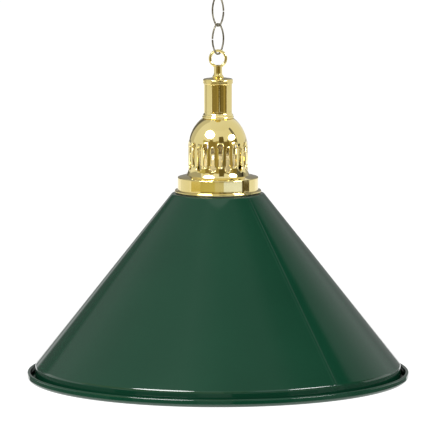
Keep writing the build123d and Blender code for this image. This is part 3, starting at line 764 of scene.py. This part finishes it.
def on_dome(angle, level, press, side, slope_across=0.0, slope_up=0.0):
    """(place, normal) on the dome's outside (side 1) or inside (side -1)."""
    r, n_r, n_z = dome_at(level)
    depth = press if side == 1 else 0.7 * min(press, 0.0) - DOME_SHEET
    radial = Vector((cos(angle), sin(angle), 0))
    up = Vector((0, 0, 1))
    normal = radial * n_r + up * n_z
    tilted = normal - Vector((-sin(angle), cos(angle), 0)) * slope_across
    tilted -= (up * n_r - radial * n_z) * slope_up
    place = radial * (r + n_r * depth) * MM + up * (rim_z + (level + n_z * depth) * MM)
    return place, tilted.normalized() * side


def build_vented_dome():
    """Spun dome with pressed keyhole vents, alternately round end up and round end down."""
    _, foot, crown = span("vented_dome")
    sheet_faces = FormedSheet()
    sectors = (vent_sector(VENT_HIGH), vent_sector(VENT_LOW))
    for number in range(VENTS):
        turn = radians(FIRST_VENT + number * 360 / VENTS)
        points, triangles, hole = sectors[number % 2]
        for side in (1, -1):
            made = [on_dome(turn + p[0] / DOME_R, *p[1:3], side, *p[3:]) for p in points]
            for triangle in triangles:
                sheet_faces.face([made[v] for v in triangle[::side]])
            if side == 1:
                outside = made
        for k in hole:
            after = k + 1 if k + 1 in hole else hole[0]
            _, _, _, g_x, g_z = points[k]
            towards = Vector((-sin(turn), cos(turn), 0)) * -g_x + Vector((0, 0, -g_z))
            towards.normalize()
            corners = (outside[k], outside[after], made[after], made[k])
            sheet_faces.face([(place, towards) for place, _ in corners])

    # Foot below the vents and crown above them, in rings of the same columns.
    first = radians(FIRST_VENT - 180 / VENTS)
    columns = [first + 2 * pi * k / (VENTS * SECTOR_STEPS) for k in range(VENTS * SECTOR_STEPS + 1)]
    columns[-1] = columns[0]
    low_rows = [foot + (BAND_LOW - foot) * k / 6 for k in range(7)]
    top_angle = asin((crown - DOME_ARC_LEVEL) / DOME_ARC_R)
    band_angle = asin((BAND_HIGH - DOME_ARC_LEVEL) / DOME_ARC_R)
    high_rows = [BAND_HIGH]
    for k in range(1, 17):
        angle = band_angle + (top_angle - band_angle) * k / 16
        high_rows.append(DOME_ARC_LEVEL + DOME_ARC_R * sin(angle))
    for rows in (low_rows, high_rows):
        for side in (1, -1):
            for low_row, high_row in zip(rows, rows[1:]):
                for a, b in zip(columns, columns[1:]):
                    corners = [on_dome(a, low_row, 0, side), on_dome(b, low_row, 0, side)]
                    corners += [on_dome(b, high_row, 0, side), on_dome(a, high_row, 0, side)]
                    sheet_faces.face(corners[::side])
    hole_r = HUB_R * MM
    for a, b in zip(columns, columns[1:]):
        ends = [[on_dome(t, foot, 0, side)[0] for t in (a, b)] for side in (1, -1)]
        down = Vector((0, 0, -1))
        ring = (ends[1][0], ends[1][1], ends[0][1], ends[0][0])
        sheet_faces.face([(place, down) for place in ring])
        bore = []
        for side in (1, -1):
            rim = [on_dome(t, high_rows[-1], 0, side)[0] for t in (a, b)]
            inner = [Vector((hole_r * cos(t), hole_r * sin(t), rim[0].z)) for t in (a, b)]
            flat_face = [(place, Vector((0, 0, side))) for place in (rim[0], rim[1], inner[1], inner[0])]
            sheet_faces.face(flat_face[::side])
            bore.append(inner)
        outer, under = bore
        walls = (outer[0], outer[1], under[1], under[0])
        sheet_faces.face([(place, -Vector((place.x, place.y, 0)).normalized()) for place in walls])
    stand_in("vented_dome", sheet_faces.mesh("fine_vented_dome"))


build_vented_dome()


# ---- Camera, world, lights and floor ---------------------------------------------------
def add_camera():
    """Camera a little above the rim, on the front, looking slightly down."""
    camera = bpy.data.objects.new("camera", bpy.data.cameras.new("camera"))
    scene.collection.objects.link(camera)
    aside = 0.0023
    camera.location = (aside, -6.0, rim_z + 0.925)
    aim = Vector((aside, 0.0, rim_z + 0.18))
    camera.rotation_euler = (aim - camera.location).to_track_quat("-Z", "Y").to_euler()
    camera.data.sensor_width = 36.0
    camera.data.lens = 430.1
    camera.data.clip_end = 100.0
    scene.camera = camera


def add_world():
    """White seen directly; soft bright walls with gaps for everything that is lit by it."""
    world = bpy.data.worlds.new("studio")
    scene.world = world
    world.use_nodes = True
    tree = world.node_tree
    tree.nodes.clear()

    def node(kind, **settings):
        made = tree.nodes.new(kind)
        for key, value in settings.items():
            setattr(made, key, value)
        return made

    def math_node(operation, a, b=None):
        made = node("ShaderNodeMath", operation=operation)
        for value, socket in ((a, made.inputs[0]), (b, made.inputs[1])):
            if isinstance(value, bpy.types.NodeSocket):
                tree.links.new(value, socket)
            elif value is not None:
                socket.default_value = value
        return made.outputs[0]

    parts = node("ShaderNodeSeparateXYZ")
    tree.links.new(node("ShaderNodeTexCoord").outputs["Generated"], parts.inputs[0])
    x, y, z = parts.outputs
    turn = math_node("DIVIDE", math_node("ARCTAN2", x, math_node("MULTIPLY", y, -1.0)), 2 * pi)
    around = node("ShaderNodeValToRGB")
    walls = (
        (-180, 0.3), (-166, 0.3), (-165, 0.6), (-161, 0.6), (-160, 0.12), (-146, 0.12),
        (-142, 0.30), (-128, 0.44), (-115, 0.47), (-60, 0.45), (-40, 0.5), (-10, 0.4), (10, 0.34),
        (60, 0.3), (80, 0.15), (104, 0.08), (106, 0.02), (111, 0.02), (115, 0.3), (135, 0.5),
        (146, 0.5), (156, 0.28), (180, 0.28),
    )
    marks = around.color_ramp.elements
    while len(marks) < len(walls):
        marks.new(0.5)
    for mark, (azimuth, level) in zip(marks, walls):
        mark.position = azimuth / 360 + 0.5
        mark.color = (level, level, level, 1)
    tree.links.new(math_node("ADD", turn, 0.5), around.inputs["Fac"])

    # A large bright cloth hangs in front of the lamp, from the floor to 55 degrees up.
    front = math_node("LESS_THAN", math_node("ABSOLUTE", turn), 70 / 360)
    low = math_node("LESS_THAN", z, sin(radians(55)))
    cloth = math_node("MULTIPLY", front, low)
    shown = node("ShaderNodeMix", data_type="RGBA")
    tree.links.new(cloth, shown.inputs[0])
    tree.links.new(around.outputs["Color"], shown.inputs[6])
    shown.inputs[7].default_value = (0.92, 0.92, 0.9, 1)

    lit = node("ShaderNodeBackground")
    tree.links.new(shown.outputs[2], lit.inputs["Color"])
    white = node("ShaderNodeBackground")
    white.inputs["Color"].default_value = (1, 1, 1, 1)
    choose = node("ShaderNodeMixShader")
    tree.links.new(node("ShaderNodeLightPath").outputs["Is Camera Ray"], choose.inputs[0])
    tree.links.new(lit.outputs[0], choose.inputs[1])
    tree.links.new(white.outputs[0], choose.inputs[2])
    tree.links.new(choose.outputs[0], node("ShaderNodeOutputWorld").inputs["Surface"])


def add_light(name, azimuth, elevation, width, height, power):
    """Oval soft light 2 m from the lamp; azimuth 0 is the front and goes round to the right."""
    light = bpy.data.lights.new(name, "AREA")
    light.shape = "ELLIPSE"
    light.size = width
    light.size_y = height
    light.energy = power
    turn, rise = radians(azimuth), radians(elevation)
    direction = Vector((sin(turn) * cos(rise), -cos(turn) * cos(rise), sin(rise)))
    lamp_middle = Vector((0, 0, rim_z + 0.1))
    place = bpy.data.objects.new(name, light)
    place.location = lamp_middle + direction * 2.0
    place.rotation_euler = (-direction).to_track_quat("-Z", "Y").to_euler()
    scene.collection.objects.link(place)


def stage_material(name, colour, glow, diffuse):
    """Stage material with light of its own and a faint mottle, that may reflect light too."""
    m = Shading(name, roughness=0.9, Specular_IOR_Level=0.0, Emission_Strength=glow)
    tone = m.ramp(m.noise(3.0), (0.3, tuple(c * 0.98 for c in colour)), (0.7, colour))
    if diffuse:
        m.colour(tone)
    else:
        m.shader.inputs["Base Color"].default_value = (0, 0, 0, 1)
    m.link(tone, m.shader.inputs["Emission Color"])
    return m.material


def stand_card(bm, radius, first, last, bottom, top):
    """Add an upright piece of a card: first and last are azimuths, bottom and top over the rim."""
    steps = max(2, int((last - first) / 4))
    for k in range(steps):
        corners = []
        for share, height in ((k, bottom), (k + 1, bottom), (k + 1, top), (k, top)):
            azimuth = radians(first + (last - first) * share / steps)
            place = (radius * sin(azimuth), -radius * cos(azimuth), rim_z + height)
            corners.append(bm.verts.new(place))
        bm.faces.new(corners)


def lay_roof(bm, inner, outer, height, sides=48):
    """Add a level ring round the chain, over the brass."""
    rims = []
    for radius in (inner, outer):
        turns = [2 * pi * k / sides for k in range(sides)]
        rims.append([bm.verts.new((radius * cos(a), radius * sin(a), rim_z + height)) for a in turns])
    for k in range(sides):
        after = (k + 1) % sides
        bm.faces.new((rims[0][k], rims[0][after], rims[1][after], rims[1][k]))


def add_cards():
    """Cards standing round the lamp that only its reflections show."""
    dark_gold = (1.0, 0.79, 0.30)
    above_tube = 0.22  # the tube looks under cards that start here, and only the dome shows them
    cards = (
        # radius, emission, colour, then (first azimuth, last azimuth, lowest, highest over the rim)
        (1.2, 0.55, (1.0, 0.90, 0.38), (
            (-74, -62, above_tube, 0.58), (-62, -50, above_tube, 0.68))),
        (1.2, 0.29, dark_gold, ((-50, -34, 0.06, 0.62), (-34, -20, 0.06, 0.76), (-20, -9, 0.06, 0.64))),
        (1.2, 0.38, dark_gold, ((-9, 4, 0.06, 0.68),)),
        (1.2, 0.14, dark_gold, (
            (4, 9, 0.06, 1.05), (9, 12, 0.06, 0.15), (9, 12, 0.20, 1.05), (12, 24, 0.06, 1.05))),
        (1.2, 0.22, dark_gold, ((24, 38, 0.06, 0.64), (38, 46, 0.06, 0.74), (60, 78, 0.06, 0.66))),
        (1.2, 0.40, dark_gold, ((46, 60, 0.06, 0.60),)),
        (0.45, 0.72, (1.0, 0.86, 0.36), ((-79, -50, 0.12, 0.184),)),
        (0.45, 0.64, (1.0, 0.91, 0.38), ((-50, -8, 0.12, 0.184),)),
        (0.45, 0.70, (1.0, 0.95, 0.68), ((-8, 15.7, 0.12, 0.184),)),
        (0.45, 1.35, (0.72, 0.79, 1.0), ((15.7, 69.3, 0.12, 0.184),)),
        (0.45, 0.11, (1.0, 0.8, 0.4), ((69.3, 96, 0.12, 0.184),)),
        (1.2, 0.95, (1.0, 1.0, 0.98), ((-130, -86, 0.0, 0.40), (96, 130, 0.0, 0.40))),
        (1.2, 0.16, (0.9, 1.0, 0.95), (
            (-150, -62, -0.25, -0.03), (-48, -11, -0.25, -0.03), (41, 60, -0.25, -0.03),
            (80, 150, -0.25, -0.03))),
        (1.2, 0.01, (0.9, 1.0, 0.95), ((-62, -48, -0.25, -0.03), (8, 41, -0.25, -0.03))),
        (1.2, 0.30, (0.9, 1.0, 0.95), ((-11, 8, -0.25, -0.03), (60, 80, -0.25, -0.03))),
        (0.08, 0.65, (1.0, 0.98, 0.90), ((-122, -93, 0.275, 0.45),)),
        (0.08, 0.88, (1.0, 1.0, 0.97), ((-93, -50, 0.275, 0.45), (68, 150, 0.275, 0.45))),
    )
    for number, (radius, glow, colour, pieces) in enumerate(cards):
        bm = bmesh.new()
        for first, last, bottom, top in pieces:
            stand_card(bm, radius, first, last, bottom, top)
        if number == len(cards) - 1:  # the last has a roof too
            lay_roof(bm, 0.03, 0.15, 0.45)
        mesh = bpy.data.meshes.new(f"card_{number}")
        bm.to_mesh(mesh)
        bm.free()
        card = bpy.data.objects.new(f"card_{number}", mesh)
        scene.collection.objects.link(card)
        card.data.materials.append(stage_material(f"card_{number}", colour, glow, diffuse=False))
        card.visible_camera = False
        card.visible_diffuse = False
        card.visible_transmission = False
        card.visible_shadow = False


def add_floor():
    """Wide pale floor, below the lowest that the swinging shade reaches."""
    bm = bmesh.new()
    bmesh.ops.create_circle(bm, cap_ends=True, segments=96, radius=30.0)
    bmesh.ops.translate(bm, verts=bm.verts, vec=(0, 0, rim_z - 0.75))
    mesh = bpy.data.meshes.new("floor")
    bm.to_mesh(mesh)
    bm.free()
    floor = bpy.data.objects.new("floor", mesh)
    scene.collection.objects.link(floor)
    floor.data.materials.append(stage_material("pale_floor", (0.88, 0.88, 0.88), 0.75, diffuse=True))


add_camera()
add_world()
add_light("key_left", -40, 42, 1.25, 0.8, 58.0)
add_light("key_right", 62, 30, 1.0, 0.5, 30.0)
add_cards()
add_floor()
scene.view_settings.view_transform = "Standard"
